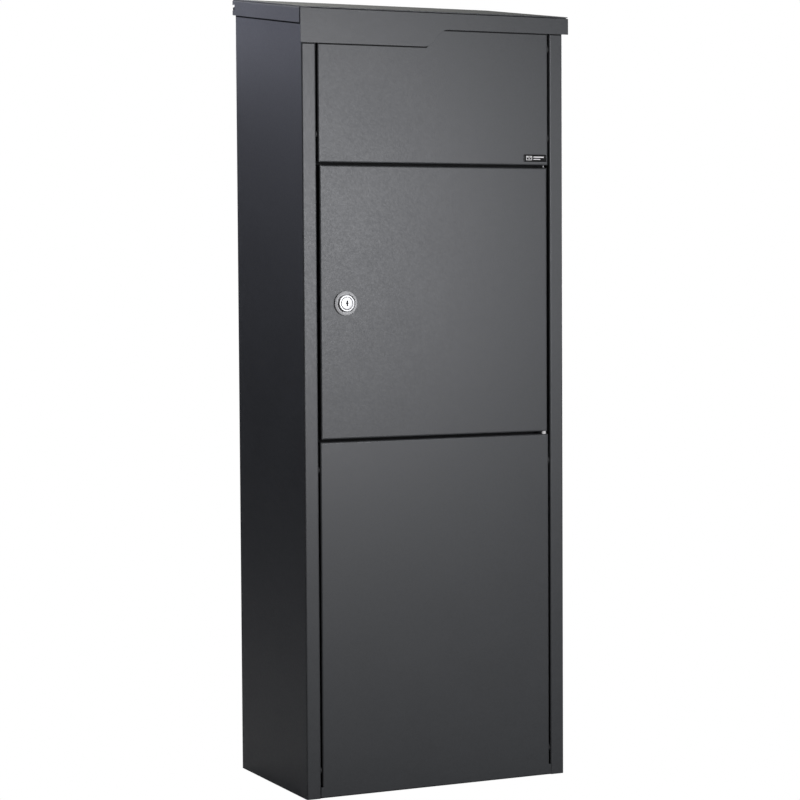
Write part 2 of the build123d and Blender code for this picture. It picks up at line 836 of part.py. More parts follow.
def tray_edge_trim():
    """Rubber channel pushed over the tip of the tray."""
    face_y = tray_y - tray_flange / 2
    foot = tray_z - tray_length
    half_x = tray_x - 2 * tray_hem
    outer = block((-half_x, half_x), (face_y - sheet, face_y), (foot - sheet, foot + tray_hem))
    outer += block((-half_x, half_x), (face_y, face_y + tray_flange - sheet), (foot - sheet, foot))
    return outer


# ---------------------------------------------------------------- door
def door_panel():
    """Door skin with all four edges folded back, bored for the bushes and the lock."""
    door = pan(door_x, door_foot, door_top, door_return, door_return, door_return)
    door -= rod_z(bush_r + running_gap, door_foot - 1, door_top + 1, door_pin_x, door_pin_y)
    return door - rod_y(lock_body_r + running_gap, front_y - 1, front_y + 2 * sheet, lock_x, lock_z)


def door_bush(inner_z, edge_z, flange_z):
    """Flanged nylon bush in a return of the door."""
    bush = rod_z(bush_r, inner_z, edge_z, door_pin_x, door_pin_y)
    bush += rod_z(washer_r, edge_z, flange_z, door_pin_x, door_pin_y)
    return bush - door_pin_hole(door_foot - door_return, door_top + door_return)


def upper_bush():
    """Bush in the top return of the door."""
    return door_bush(door_top - door_bush_length, door_top, door_top + door_bush_flange)


def lower_bush():
    """Bush in the bottom return of the door."""
    return door_bush(door_foot + door_bush_length, door_foot, door_foot - door_bush_flange)


def upper_door_pin():
    """Pin from the header down into the door."""
    web_top = upper_foot + 2 * sheet
    pin = rod_z(door_pin_r, door_top - door_pin_engagement, web_top, door_pin_x, door_pin_y)
    return pin + rod_z(door_pin_head_r, web_top, web_top + pin_head, door_pin_x, door_pin_y)


def lower_door_pin():
    """Pin from the sill up into the door."""
    web_foot = lower_top - 2 * sheet
    pin = rod_z(door_pin_r, web_foot, door_foot + door_pin_engagement, door_pin_x, door_pin_y)
    return pin + rod_z(door_pin_head_r, web_foot - pin_head, web_foot, door_pin_x, door_pin_y)


def door_washer():
    """White nylon washer that carries the door on the sill."""
    top = door_foot - door_bush_flange - washer_gap
    washer = rod_z(washer_r, lower_top, top, door_pin_x, door_pin_y)
    return washer - door_pin_hole(lower_top - sheet, top + sheet)


def door_stiffener():
    """Upright hat section behind the middle of the door."""
    foot = door_foot + stiffener_margin
    length = door_height - 2 * stiffener_margin
    plane = Plane(origin=(0, front_y + sheet, foot), x_dir=(-1, 0, 0), z_dir=(0, 0, 1))
    return hat(door_stiffener_width, stiffener_depth, hat_flange, plane, length)


# ---------------------------------------------------------------- lock
def lock_escutcheon():
    """Ring round the lock on the face of the door: an upright wall, then a bevel."""
    bevel = escutcheon_height - escutcheon_wall
    cone = Cone(escutcheon_r, escutcheon_top_r, bevel)
    ring = Pos(lock_x, front_y - escutcheon_wall - bevel / 2, lock_z) * Rot(90, 0, 0) * cone
    ring += rod_y(escutcheon_r, front_y - escutcheon_wall, front_y, lock_x, lock_z)
    bore = rod_y(lock_groove_r, front_y - 2 * escutcheon_height, front_y - sheet, lock_x, lock_z)
    neck = rod_y(lock_body_r + running_gap, front_y - 2 * escutcheon_height, front_y + 1, lock_x, lock_z)
    return ring - bore - neck


def lock_housing():
    """Stationary barrel of the lock with its round head."""
    back = front_y + lock_body_length
    body = rod_y(lock_body_r, front_y - sheet, back, lock_x, lock_z)
    head = rod_y(lock_head_r, front_y - sheet - lock_head_height, front_y - sheet, lock_x, lock_z)
    head = chamfer(head.edges().group_by(Axis.Y)[0], 0.6)
    bore = rod_y(plug_r + running_gap, front_y - 2 * lock_head_height, back + 1, lock_x, lock_z)
    return body + head - bore


def lock_nut():
    """Hexagon nut that clamps the lock to the door."""
    back = front_y + sheet + lock_nut_thickness
    plane = Plane(origin=(lock_x, back, lock_z), x_dir=(1, 0, 0), z_dir=(0, -1, 0))
    nut = extrude(plane * RegularPolygon(lock_nut_flats / 2, 6, major_radius=False), lock_nut_thickness)
    return nut - rod_y(lock_body_r + running_gap, front_y, back + sheet, lock_x, lock_z)


def lock_plug():
    """Rotor with the key slot in front and a square tail for the cam."""
    face_y = front_y - sheet - lock_head_height - plug_proud
    shoulder_y = front_y + lock_body_length + clip_gap
    plug = rod_y(plug_r, face_y, shoulder_y, lock_x, lock_z)
    tail_y = (shoulder_y, cam_back_y)
    half = cam_square / 2
    plug += block((lock_x - half, lock_x + half), tail_y, (lock_z - half, lock_z + half))
    slot_y = (face_y - 1, face_y + key_slot_depth)
    slot_half = key_slot_width / 2
    slot_z = (lock_z - key_slot_height / 2, lock_z + key_slot_height / 2)
    slot = block((lock_x - slot_half, lock_x + slot_half), slot_y, slot_z)
    slot += rod_y(key_hole_r, *slot_y, lock_x, lock_z)
    return plug - slot


def lock_cam():
    """Flat cam, upright when unlocked and behind the strike when turned a quarter."""
    plane = Plane(origin=(lock_x, cam_back_y, lock_z), x_dir=(0, 0, 1), z_dir=(0, -1, 0))
    reach = cam_length - cam_width / 2
    bar = Pos(reach / 2, 0) * SlotCenterToCenter(reach, cam_width)
    bar -= Rectangle(cam_square + 2 * running_gap, cam_square + 2 * running_gap)
    return extrude(plane * bar, cam_thickness)


def cam_screw():
    """Screw with a washer head that holds the cam on the plug."""
    return rod_y(cam_screw_r, cam_back_y, cam_back_y + cam_screw_head, lock_x, lock_z)


def strike_plate():
    """Plate on the left stile's return whose lip the cam closes behind."""
    inner_x = -opening_x - sheet
    half = strike_width / 2
    z = (lock_z - half, lock_z + half)
    rear = cam_front_y - strike_gap
    plate = block((inner_x - strike_sheet, inner_x), (front_y + 2 * sheet, rear), z)
    lip = block((inner_x - strike_sheet, -opening_x), (rear - strike_sheet, rear), z)
    plate += lip
    for rivet_z in strike_rivet_heights():
        plate -= rod_x(rivet_r + running_gap, -side_x, 0, strike_rivet_y(), rivet_z)
    return plate


def strike_rivet_y():
    """Distance to the back of the strike's rivets."""
    return front_y + stile_return / 2


def strike_rivet_heights():
    """Heights of the strike's rivets."""
    reach = strike_width / 2 - 2 * rivet_head_r
    return (lock_z - reach, lock_z + reach)


def strike_rivets():
    """Rivets through the strike and the stile's return."""
    inner_x = -opening_x - sheet - strike_sheet
    rivets = []
    for z in strike_rivet_heights():
        rivet = rod_x(rivet_r, inner_x, -opening_x, strike_rivet_y(), z)
        rivet += rod_x(rivet_head_r, inner_x - rivet_head, inner_x, strike_rivet_y(), z)
        rivet += rod_x(rivet_head_r, -opening_x, -opening_x + rivet_head, strike_rivet_y(), z)
        rivets.append(rivet)
    return rivets


# ---------------------------------------------------------------- nodes
def right_of(part):
    """Mirror image of a left-hand part."""
    return mirror(part, about=Plane.YZ)


def all_nodes():
    """Every piece by its name; a list holds several separate solids of one kind."""
    left = left_wall()
    lid_edge = lid_side()
    bracket = tray_bracket()
    ear = lid_ear()
    link = link_rod()
    arm = tray_arm()
    return {
        "left_side_wall": left,
        "right_side_wall": right_of(left),
        "back_wall": back_wall(),
        "floor_pan": floor_pan(),
        "lower_front_panel": lower_front_panel(),
        "upper_front_panel": upper_front_panel(),
        "panel_screws": panel_screws(),
        "panel_spacers": panel_spacers(),
        "panel_nuts": panel_nuts(),
        "door_header_rail": header_rail(),
        "door_sill_rail": sill_rail(),
        "rail_buffers": rail_buffers(),
        "lid_rest_buffers": lid_buffers(),
        "lid_side_pads": side_pads(),
        "badge_plate": badge_plate(),
        "casing_hinge_leaf": casing_hinge_leaf(),
        "lid_hinge_rod": hinge_rod(),
        "hinge_leaf_rivets": hinge_leaf_rivets(),
        "left_tray_bracket": bracket,
        "right_tray_bracket": right_of(bracket),
        "upper_door_pin": upper_door_pin(),
        "lower_door_pin": lower_door_pin(),
        "door_washer": door_washer(),
        "strike_plate": strike_plate(),
        "strike_rivets": strike_rivets(),
        "lid_roof": lid_roof(),
        "left_lid_side": lid_edge,
        "right_lid_side": right_of(lid_edge),
        "lid_fascia": lid_fascia(),
        "lid_fascia_rail": fascia_rail(),
        "lid_stiffener": lid_stiffener(),
        "lid_hinge_leaf": lid_hinge_leaf(),
        "left_lid_ear": ear,
        "right_lid_ear": right_of(ear),
        "lid_crank_pins": lid_crank_pins(),
        "lid_link_clips": lid_link_clips(),
        "left_link_rod": link,
        "right_link_rod": right_of(link),
        "drop_tray": drop_tray(),
        "left_tray_arm": arm,
        "right_tray_arm": right_of(arm),
        "tray_arm_rivets": tray_arm_rivets(),
        "tray_pivot_pins": tray_pivot_pins(),
        "tray_pivot_clips": tray_pivot_clips(),
        "tray_crank_pins": tray_crank_pins(),
        "tray_link_clips": tray_link_clips(),
        "tray_edge_trim": tray_edge_trim(),
        "door_panel": door_panel(),
        "door_stiffener": door_stiffener(),
        "upper_door_bush": upper_bush(),
        "lower_door_bush": lower_bush(),
        "lock_escutcheon": lock_escutcheon(),
        "lock_housing": lock_housing(),
        "lock_nut": lock_nut(),
        "lock_plug": lock_plug(),
        "lock_cam": lock_cam(),
        "cam_screw": cam_screw(),
    }


os.makedirs("parts", exist_ok=True)
for name, shape in all_nodes().items():
    solids = shape if isinstance(shape, list) else [shape]
    export_step(Compound(children=[Part() + solid for solid in solids]), f"parts/{name}.step")
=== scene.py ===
import json
from math import cos, radians, sin

import bpy
import numpy as np
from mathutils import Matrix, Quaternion, Vector


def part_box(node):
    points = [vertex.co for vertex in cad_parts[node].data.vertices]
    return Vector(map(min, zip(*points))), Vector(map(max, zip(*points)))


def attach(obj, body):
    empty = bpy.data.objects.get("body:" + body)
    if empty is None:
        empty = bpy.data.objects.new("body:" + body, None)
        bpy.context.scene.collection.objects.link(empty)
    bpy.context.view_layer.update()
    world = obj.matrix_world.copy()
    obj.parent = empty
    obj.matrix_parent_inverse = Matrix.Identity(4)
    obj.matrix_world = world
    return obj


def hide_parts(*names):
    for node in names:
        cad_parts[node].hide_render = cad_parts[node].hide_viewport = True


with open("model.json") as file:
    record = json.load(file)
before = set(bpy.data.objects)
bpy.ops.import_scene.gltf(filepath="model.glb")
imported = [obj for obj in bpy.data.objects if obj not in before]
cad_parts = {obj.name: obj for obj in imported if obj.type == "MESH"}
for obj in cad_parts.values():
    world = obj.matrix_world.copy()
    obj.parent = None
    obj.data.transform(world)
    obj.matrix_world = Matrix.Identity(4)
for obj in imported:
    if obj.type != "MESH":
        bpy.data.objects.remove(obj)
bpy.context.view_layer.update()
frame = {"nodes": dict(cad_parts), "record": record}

# Free-standing parcel locker in powder-coated sheet steel. Metres; front at -Y, up at +Z.
MM = 0.001
SLOT_OF = {row["node"]: row["material_slot"] for row in frame["record"]["subparts"]}


# ---------------------------------------------------------------- shader shorthand
class Wire:
    """An output socket in a finish; arithmetic on it adds Math nodes."""

    def __init__(self, finish, socket):
        self.finish = finish
        self.socket = socket

    def maths(self, operation, *operands):
        return self.finish.node("ShaderNodeMath", {"operation": operation}, operands)

    def __add__(self, other):
        return self.maths("ADD", self, other)

    def __radd__(self, other):
        return self.maths("ADD", other, self)

    def __sub__(self, other):
        return self.maths("SUBTRACT", self, other)

    def __rsub__(self, other):
        return self.maths("SUBTRACT", other, self)

    def __mul__(self, other):
        return self.maths("MULTIPLY", self, other)

    def __rmul__(self, other):
        return self.maths("MULTIPLY", other, self)

    def __truediv__(self, other):
        return self.maths("DIVIDE", self, other)

    def __abs__(self):
        return self.maths("ABSOLUTE", self)

    def clip(self):
        """The value kept between nought and one."""
        return self.finish.node("ShaderNodeClamp", {}, [self])


class Finish:
    """A material: a Principled shader, and one method that adds any other node."""

    def __init__(self, name, **constants):
        self.material = bpy.data.materials.new(name)
        self.material.use_nodes = True
        self.tree = self.material.node_tree
        self.shader = self.tree.nodes["Principled BSDF"]
        self.set(**constants)

    def node(self, kind, settings, inputs=(), output=0):
        """Adds a node: settings first, then inputs by place or by name; gives one of its outputs."""
        made = self.tree.nodes.new(kind)
        for key, value in settings.items():
            setattr(made, key, value)
        pairs = inputs.items() if isinstance(inputs, dict) else enumerate(inputs)
        for key, value in pairs:
            self.join(made.inputs[key], value)
        return Wire(self, made.outputs[output])

    def join(self, socket, value):
        if isinstance(value, Wire):
            self.tree.links.new(value.socket, socket)
        else:
            socket.default_value = value

    def set(self, **inputs):
        """Sets or links the shader's own sockets; Base_Color stands for Base Color."""
        for key, value in inputs.items():
            self.join(self.shader.inputs[key.replace("_", " ")], value)
        return self

    def place(self):
        """Object coordinates: metres in the locker's own frame."""
        return self.node("ShaderNodeTexCoord", {}, output="Object")

    def axis(self, name):
        """One of the object coordinates."""
        return self.node("ShaderNodeSeparateXYZ", {}, [self.place()], name)

    def noise(self, size, detail=2.0, roughness=0.5, place=None):
        """Noise whose blotches are about a size in metres."""
        inputs = {"Vector": place or self.place(), "Scale": 1 / size}
        inputs |= {"Detail": detail, "Roughness": roughness}
        return self.node("ShaderNodeTexNoise", {"noise_dimensions": "3D"}, inputs)

    def cells(self, size, place=None):
        """Cells about a size in metres, each with its own random value."""
        inputs = {"Vector": place or self.place(), "Scale": 1 / size}
        colour = self.node("ShaderNodeTexVoronoi", {"feature": "F1"}, inputs, "Color")
        return self.node("ShaderNodeSeparateColor", {}, [colour])

    def stretched(self, scale):
        """Object coordinates stretched on each axis."""
        return self.node("ShaderNodeMapping", {}, {"Vector": self.place(), "Scale": scale})

    def blend(self, factor, first, second):
        """A mix of two colours."""
        settings = {"data_type": "RGBA"}
        inputs = {"Factor": factor, 6: first, 7: second}
        return self.node("ShaderNodeMix", settings, inputs, 2)

    def bumps(self, height, depth, strength=1.0, normal=None):
        """Normal of a surface raised by a height times a depth in metres."""
        inputs = {"Height": height, "Distance": depth, "Strength": strength}
        if normal:
            inputs["Normal"] = normal
        return self.node("ShaderNodeBump", {}, inputs)

    def eased(self, radius):
        """Normal of the surface with its edges eased to a radius."""
        return self.node("ShaderNodeBevel", {"samples": 4}, {"Radius": radius})


def grey(level, warmth=0.0):
    """Near-neutral colour, warmer above zero and cooler below."""
    return (level * (1 + warmth), level, level * (1 - warmth), 1.0)


# ---------------------------------------------------------------- finishes
WALL_LOW, WALL_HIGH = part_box("left_side_wall")
SIDE_X, FRONT_Y, BACK_Y = -WALL_LOW[0], WALL_LOW[1], WALL_HIGH[1]
FLANGE_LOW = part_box("left_lid_side")[0]
FASCIA_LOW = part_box("lid_fascia")[0]
ROOF_SLOPE = 0.1352                # fall of the roof towards the front
FASCIA_STEP = 22.1 * MM            # rise of the fascia's lower edge from left to right
STEP_START, STEP_RUN = -12 * MM, 20 * MM
FOLD_DEPTH, FOLD_FADE = 1.4 * MM, 2.4 * MM         # where the painted shade starts behind the front
HOLLOW_START, HOLLOW_FADE = -90.0 * MM, 8.0 * MM   # where the folds give way to the hollow
HOLLOW_RELIEF = 0.7                # share of the painted shade that the hollow is spared
SKIN_FADE = 0.4 * MM               # within the thickness of the outer sheets
FLANGE_SHADOW_REACH, FASCIA_SHADOW_REACH = 2.3 * MM, 1.3 * MM      # how far the painted shadow line shows under the lid
SHADOW_LINE_FADE = 0.6 * MM
FACE_LIMIT, FACE_FADE = 0.3 * MM, 0.2 * MM         # keeps the painted shadow line to the outer faces
COAT_LEVEL, COAT_WARMTH, COAT_GLOSS = 0.055, -0.045, 0.42
COAT_DARK, COAT_LIGHT = 0.72, 1.34                 # darkest and lightest grain against the level
# dark, dull colour of the painted shade and painted shadow line on the casing's coat
PAINTED_SHADE_LEVEL, PAINTED_SHADE_ROUGHNESS = 0.16, 0.92


def painted_fold_shade(coat):
    """How much painted shade the coat gets, standing in for the shade in the folds behind the front: one
    in the folds, a little in the hollow of the casing, nought on its outside. It is the product of how
    far a point lies behind the front, inside the walls and before the back."""
    depth = coat.axis("Y")
    behind = ((depth - (FRONT_Y + FOLD_DEPTH)) / FOLD_FADE).clip()
    within = ((SIDE_X - SKIN_FADE - abs(coat.axis("X"))) / SKIN_FADE).clip()
    before = ((BACK_Y - SKIN_FADE - depth) / SKIN_FADE).clip()
    hollow = ((depth - HOLLOW_START) / HOLLOW_FADE).clip()
    return behind * within * before * (1 - HOLLOW_RELIEF * hollow)


def painted_lid_shadow(coat):
    """Painted shadow of the lid on the casing: one where the closed lid covers the casing and a little
    below, from the line z0 + slope (y - y0) of its side flanges up on the walls, and from the stepped
    edge of its fascia up on the front. It stays painted when the lid opens."""
    across, depth, up = (coat.axis(name) for name in "XYZ")
    flange = FLANGE_LOW[2] + ROOF_SLOPE * (depth - FLANGE_LOW[1])
    edge = FASCIA_LOW[2] + FASCIA_STEP * ((across - STEP_START) / STEP_RUN).clip()
    wall_height = ((up - flange + FLANGE_SHADOW_REACH) / SHADOW_LINE_FADE).clip()
    wall_face = ((abs(across) - SIDE_X + FACE_LIMIT) / FACE_FADE).clip()
    front_height = ((up - edge + FASCIA_SHADOW_REACH) / SHADOW_LINE_FADE).clip()
    front_face = ((FRONT_Y + FACE_LIMIT - depth) / FACE_FADE).clip()
    return (wall_height * wall_face + front_height * front_face).clip()


def powder_coat(name, level, warmth, gloss, hollow=False):
    """Fine-textured powder coat: matt grain with tiny lighter flecks over a slow drift of tone, with
    painted shade in the folds and hollow of the casing and a painted shadow line under its lid when
    hollow is set."""
    coat = Finish(name, IOR=1.5)
    grain = coat.noise(1.3 * MM, 3.0, 0.62)
    drift = coat.noise(90 * MM, 2.0)
    flecks = coat.noise(2.6 * MM, 1.0)
    tone = 0.55 * grain + 0.30 * flecks + 0.15 * drift
    colour = coat.blend(tone, grey(level * COAT_DARK, warmth), grey(level * COAT_LIGHT, warmth))
    rough = gloss + 0.16 * (flecks - 0.5) + 0.06 * (drift - 0.5)
    if hollow:
        # painted shade in the folds and hollow, and painted shadow under the lid
        painted_shade_mask = (painted_fold_shade(coat) + painted_lid_shadow(coat)).clip()
        colour = coat.blend(painted_shade_mask, colour, grey(level * PAINTED_SHADE_LEVEL, warmth))
        rough = rough + painted_shade_mask * (PAINTED_SHADE_ROUGHNESS - rough)
    skin_normal = coat.bumps(grain, 0.22 * MM, 0.55, coat.eased(0.5 * MM))
    return coat.set(Base_Color=colour, Roughness=rough, Normal=skin_normal)


def zinc_plate(name):
    """Zinc plating: cool, with faint spangle and a drawn grain."""
    zinc = Finish(name, Metallic=1.0)
    spangle = zinc.cells(6 * MM)
    grain = zinc.noise(1.0 * MM, 3.0, place=zinc.stretched((40.0, 40.0, 600.0)))
    tone = 0.5 * spangle + 0.5 * grain
    colour = zinc.blend(tone, (0.44, 0.46, 0.50, 1), (0.66, 0.67, 0.69, 1))
    rough = 0.26 + 0.18 * grain
    skin_normal = zinc.bumps(grain, 0.02 * MM, 0.3)
    return zinc.set(Base_Color=colour, Roughness=rough, Normal=skin_normal)


def turned_metal(name, dark, light, rough):
    """Turned or drawn metal with fine tool lines."""
    metal = Finish(name, Metallic=1.0)
    lines = metal.noise(0.35 * MM, 2.0)
    stain = metal.noise(9 * MM, 2.0)
    colour = metal.blend(0.6 * lines + 0.4 * stain, grey(dark), grey(light))
    skin_normal = metal.bumps(lines, 0.01 * MM, 0.3)
    return metal.set(Base_Color=colour, Roughness=rough + 0.1 * lines, Normal=skin_normal)


def moulded(name, level, warmth, gloss, pebble):
    """Moulded rubber or plastic with a fine pebble."""
    part = Finish(name, IOR=1.48)
    grain = part.noise(pebble, 2.0)
    colour = part.blend(grain, grey(level * 0.85, warmth), grey(level * 1.12, warmth))
    skin_normal = part.bumps(grain, 0.04 * MM, 0.4)
    return part.set(Base_Color=colour, Roughness=gloss + 0.1 * grain, Normal=skin_normal)


FINISHES = {
    "coated_steel": powder_coat(
        "anthracite_coat_with_painted_shade", COAT_LEVEL, COAT_WARMTH, COAT_GLOSS, hollow=True
    ),
    "coated_zinc": powder_coat("grey_ring_coat", 0.50, 0.0, 0.36),
    "zinc_steel": zinc_plate("zinc_plated_steel"),
    "bright_steel": turned_metal("bright_turned_steel", 0.50, 0.66, 0.22),
    "spring_steel": turned_metal("oiled_spring_steel", 0.07, 0.14, 0.34),
    "aluminium_rivet": turned_metal("satin_aluminium", 0.58, 0.74, 0.34),
    "chrome": turned_metal("bright_nickel", 0.36, 0.46, 0.40),
    "black_rubber": moulded("black_rubber", 0.018, 0.0, 0.62, 0.6 * MM),
    "white_nylon": moulded("white_nylon", 0.78, 0.02, 0.38, 0.9 * MM),
    "black_nylon": moulded("black_nylon", 0.02, 0.0, 0.36, 0.9 * MM),
    "black_badge": moulded("gloss_black_plate", 0.008, 0.0, 0.16, 1.5 * MM),
}


# the same coat without painted shade or painted shadow, for the lid's sheets
LID_COAT = powder_coat("anthracite_lid_coat", COAT_LEVEL, COAT_WARMTH, COAT_GLOSS)
LID_SHEETS = ("lid_roof", "left_lid_side", "right_lid_side", "lid_fascia")


def dress_frame():
    """Gives every CAD piece the finish of its slot; the lid's sheets are coated alike on both sides,
    without the casing's painted shade.
    """
    for name, piece in frame["nodes"].items():
        finish = LID_COAT if name in LID_SHEETS else FINISHES[SLOT_OF[name]]
        for slot in piece.material_slots:
            slot.material = finish.material


# ---------------------------------------------------------------- surfaces
ALONG = {
    "-y": ((0, -1, 0), (0, 0, 1), (1, 0, 0)),
    "y": ((0, 1, 0), (0, 0, 1), (-1, 0, 0)),
    "x": ((1, 0, 0), (0, 0, 1), (0, 1, 0)),
    "-x": ((-1, 0, 0), (0, 0, 1), (0, -1, 0)),
    "z": ((0, 0, 1), (1, 0, 0), (0, 1, 0)),
    "-z": ((0, 0, -1), (1, 0, 0), (0, -1, 0)),
}


def skin(rings, closed=False):
    """Quads between neighbouring rings (rings, columns, 3). The last ring joins the first, or each end is
    a fan to its middle. The sign of the volume, the sum of p0 . (p1 x p2), turns the faces outwards."""
    count, columns = rings.shape[:2]
    index = np.arange(count * columns).reshape(count, columns)
    if closed:
        index = np.vstack([index, index[:1]])
    near, far = index[:-1], index[1:]
    quads = np.stack([near, np.roll(near, -1, 1), np.roll(far, -1, 1), far], -1).reshape(-1, 4)
    points = rings.reshape(-1, 3)
    triangles = np.empty((0, 3), int)
    if not closed:
        points = np.vstack([points, rings[0].mean(0), rings[-1].mean(0)])
        first, last = len(points) - 2, len(points) - 1
        start = np.stack([np.roll(index[0], -1), index[0], np.full(columns, first)], -1)
        end = np.stack([index[-1], np.roll(index[-1], -1), np.full(columns, last)], -1)
        triangles = np.vstack([start, end])
    solid = np.vstack([quads[:, [0, 1, 2]], quads[:, [0, 2, 3]], triangles])
    a, b, c = points[solid[:, 0]], points[solid[:, 1]], points[solid[:, 2]]
    if np.einsum("ij,ij->", a, np.cross(b, c)) < 0:
        quads, triangles = quads[:, ::-1], triangles[:, ::-1]
    return points, quads, triangles


def made(name, skins, slot, body, *nodes):
    """One piece from closed skins, in metres from millimetres, riding on a body in place of CAD nodes."""
    faces, points, base = [], [], 0
    for skin_points, quads, triangles in skins:
        faces += (quads + base).tolist() + (triangles + base).tolist()
        points.append(skin_points)
        base += len(skin_points)
    mesh = bpy.data.meshes.new(name)
    mesh.from_pydata((np.vstack(points) * MM).tolist(), [], faces)
    mesh.shade_smooth()
    mesh.set_sharp_from_angle(angle=radians(32))
    mesh.materials.append(FINISHES[slot].material)
    piece = bpy.data.objects.new(name, mesh)
    bpy.context.collection.objects.link(piece)
    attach(piece, body)
    if nodes:
        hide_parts(*nodes)
    return piece


def eased(corners, radius, steps=5, closed=False):
    """Outline with its corners curved: P(t) = (1-t)^2 A + 2t(1-t) C + t^2 B, where C is the corner and A
    and B lie a radius back and on from it, or 0.45 of a shorter side."""
    corners = np.asarray(corners, float)
    back = np.roll(corners, 1, 0) - corners
    on = np.roll(corners, -1, 0) - corners
    long_back = np.linalg.norm(back, axis=1, keepdims=True)
    long_on = np.linalg.norm(on, axis=1, keepdims=True)
    radius = np.broadcast_to(np.asarray(radius, float), len(corners))[:, None]
    start = corners + back / long_back * np.minimum(radius, 0.45 * long_back)
    end = corners + on / long_on * np.minimum(radius, 0.45 * long_on)
    t = np.linspace(0, 1, steps)[None, :, None]
    curve = (1 - t) ** 2 * start[:, None] + 2 * t * (1 - t) * corners[:, None] + t**2 * end[:, None]
    if closed:
        return curve.reshape(-1, 2)
    return np.vstack([corners[:1], curve[1:-1].reshape(-1, 2), corners[-1:]])


def about(centre, direction, radii, heights):
    """Rings about a line: centre + h axis + r (cos t across + sin t beside), with radii and heights given
    ring by ring."""
    axis, across, beside = (np.array(vector, float) for vector in ALONG[direction])
    columns = radii.shape[1]
    t = np.arange(columns) * 2 * np.pi / columns
    circle = np.cos(t)[:, None] * across + np.sin(t)[:, None] * beside
    return np.asarray(centre, float) + heights[:, None, None] * axis + radii[:, :, None] * circle


def turned(profile, centre, direction, columns=48, closed=False):
    """Solid of revolution whose rings follow a profile of (radius, height) points."""
    profile = np.asarray(profile, float)
    radii = np.repeat(profile[:, :1], columns, 1)
    return skin(about(centre, direction, radii, profile[:, 1]), closed)


def box_mm(node):
    """A node's lowest and highest corners in millimetres."""
    low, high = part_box(node)
    return np.array(low) / MM, np.array(high) / MM


def groups(node, axes, gap):
    """Boxes in millimetres of the separate solids in a node: along each axis the sorted places split
    where the step between neighbours is over the gap, and points that share every split share a solid."""
    mesh = frame["nodes"][node].data
    places = np.empty(len(mesh.vertices) * 3)
    mesh.vertices.foreach_get("co", places)
    places = places.reshape(-1, 3) / MM
    labels = np.zeros((len(places), len(axes)), int)
    for column, axis in enumerate(axes):
        order = np.argsort(places[:, axis])
        split = np.cumsum(np.diff(places[order, axis], prepend=places[order[0], axis]) > gap)
        labels[order, column] = split
    kinds, member = np.unique(labels, axis=0, return_inverse=True)
    member = member.reshape(-1)
    low = np.full((len(kinds), 3), np.inf)
    high = np.full((len(kinds), 3), -np.inf)
    np.minimum.at(low, member, places)
    np.maximum.at(high, member, places)
    return low, high


# ---------------------------------------------------------------- lock
LOCK_LOW, LOCK_HIGH = box_mm("lock_escutcheon")
LOCK_X, LOCK_Z = (LOCK_LOW[0] + LOCK_HIGH[0]) / 2, (LOCK_LOW[2] + LOCK_HIGH[2]) / 2
FACE_Y = LOCK_HIGH[1]              # outside of the door
LOCK_CENTRE = (LOCK_X, FACE_Y, LOCK_Z)
RING_R, RING_WALL, RING_TOP_R, RING_HEIGHT = 15.3, 2.4, 12.7, 3.6
GROOVE_R, SKIN, BARREL_R, ROTOR_R = 12.0, 1.2, 9.5, 8.0
HEAD_R, HEAD_HEIGHT = 10.6, 5.6
BARREL_LENGTH = 20.0
THREAD_PITCH, THREAD_DEPTH, THREAD_ROWS = 1.0, 0.45, 160
KEYHOLE_R, KEYWAY_HALF_TALL, KEYWAY_HALF_WIDE = 1.5, 3.5, 0.9
TAIL_HALF, TAIL_CORNER_R = 3.5, 4.6


def lock_ring():
    """Turned ring: wall, bevel, narrow land, bore and the seat under the head."""
    seat_r = BARREL_R + 0.05
    corners = [(seat_r, 0), (RING_R, 0), (RING_R, RING_WALL), (RING_TOP_R, RING_HEIGHT)]
    corners += [(GROOVE_R, RING_HEIGHT), (GROOVE_R, SKIN), (seat_r, SKIN)]
    ease = [0.05, 0.05, 0.5, 0.3, 0.15, 0.1, 0.05]
    profile = eased(corners, ease, closed=True)
    ring = turned(profile, LOCK_CENTRE, "-y", 128, True)
    made("lock_ring", [ring], "coated_zinc", "door", "lock_escutcheon")


def lock_barrel():
    """Barrel with a rounded head; its radius dips by the thread's depth times
    (1 + cos(2 pi h / pitch + t)) / 2."""
    columns = 96
    bore = ROTOR_R + 0.05
    corners = [(bore, HEAD_HEIGHT), (HEAD_R, HEAD_HEIGHT), (HEAD_R, SKIN), (BARREL_R, SKIN)]
    head = eased(corners, [0, 0.9, 0.25, 0], 8)
    head[0] = (bore, HEAD_HEIGHT - 0.4)
    head = np.vstack([head[:1], [(bore + 0.1, HEAD_HEIGHT - 0.15), (bore + 0.3, HEAD_HEIGHT)], head[1:]])
    rows = np.linspace(SKIN - 1.3, 0.8 - BARREL_LENGTH, THREAD_ROWS)
    tail = [(BARREL_R - 0.6, -BARREL_LENGTH), (bore, -BARREL_LENGTH)]
    profile = np.vstack([head, np.stack([np.full(THREAD_ROWS, BARREL_R), rows], 1), tail])
    t = np.arange(columns) * 2 * np.pi / columns
    wave = 0.5 + 0.5 * np.cos(2 * np.pi * profile[:, 1:] / THREAD_PITCH + t)
    cut = np.zeros(len(profile))
    cut[len(head):-len(tail)] = THREAD_DEPTH
    radii = profile[:, :1] - cut[:, None] * wave
    rings = about(LOCK_CENTRE, "-y", radii, profile[:, 1])
    made("lock_barrel", [skin(rings, True)], "chrome", "door", "lock_housing")


